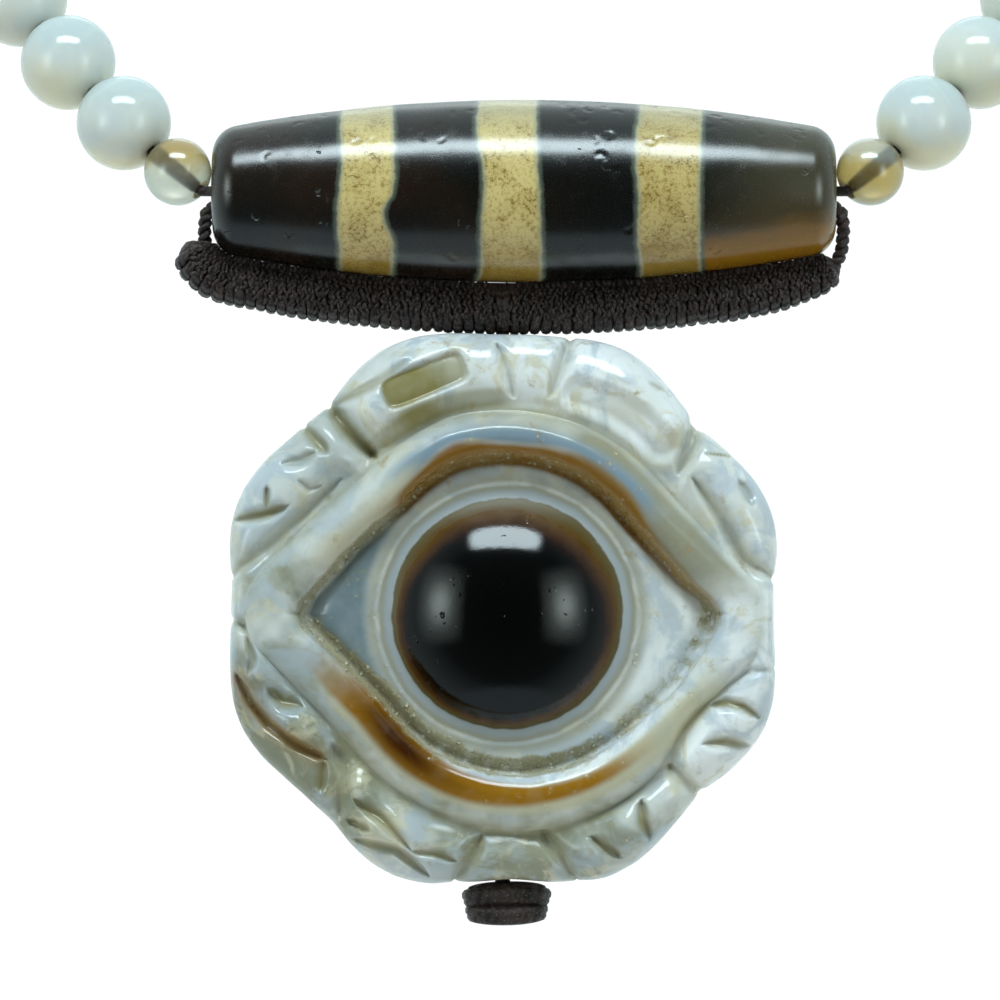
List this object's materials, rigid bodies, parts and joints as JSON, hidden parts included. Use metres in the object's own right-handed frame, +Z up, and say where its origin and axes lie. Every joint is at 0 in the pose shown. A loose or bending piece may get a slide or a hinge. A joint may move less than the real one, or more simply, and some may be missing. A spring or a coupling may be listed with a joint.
{
  "type": "dzi bead necklace",
  "caption": "Closed necklace of pale round agate beads with a long banded barrel bead at the front and a carved eye pendant hung below it on a whipped cord cradle.",
  "frame": {"origin": "the nape, on the thread inside the closing knot, where the back of the neck carries the necklace", "axes": "+Z up, +X to the right seen from the front, the front with the long bead and the pendant towards -Y"},
  "size_m": [0.1398, 0.1907, 0.2391],
  "materials": {
    "banded_agate": "polished near-black brown agate with three cream bands",
    "honey_agate": "polished translucent honey-grey agate",
    "pale_agate": "polished milky blue-green agate",
    "eye_agate": "polished pale grey-green agate with brown layers, matt in the cuts",
    "thread_cord": "dark twisted cord",
    "dark_cord": "waxed dark brown cord, whipped"
  },
  "bodies": {
    "necklace": {"dzi_bead": "banded_agate", "spacer_left": "honey_agate", "spacer_right": "honey_agate", "bead_string_left": "pale_agate", "bead_string_right": "pale_agate", "thread": "thread_cord", "closing_knot": "dark_cord"},
    "drop": {"cradle_left": "dark_cord", "cradle_right": "dark_cord", "hanger_cord": "dark_cord", "eye_pendant": "eye_agate", "stopper_knot": "dark_cord"}
  },
  "joints": [
    {"name": "drop_swing", "type": "hinge", "parent": "necklace", "child": "drop", "pos_m": [0, -0.17987, -0.1738], "axis": [1, 0, 0], "range_deg": [-90, 60]}
  ]
}
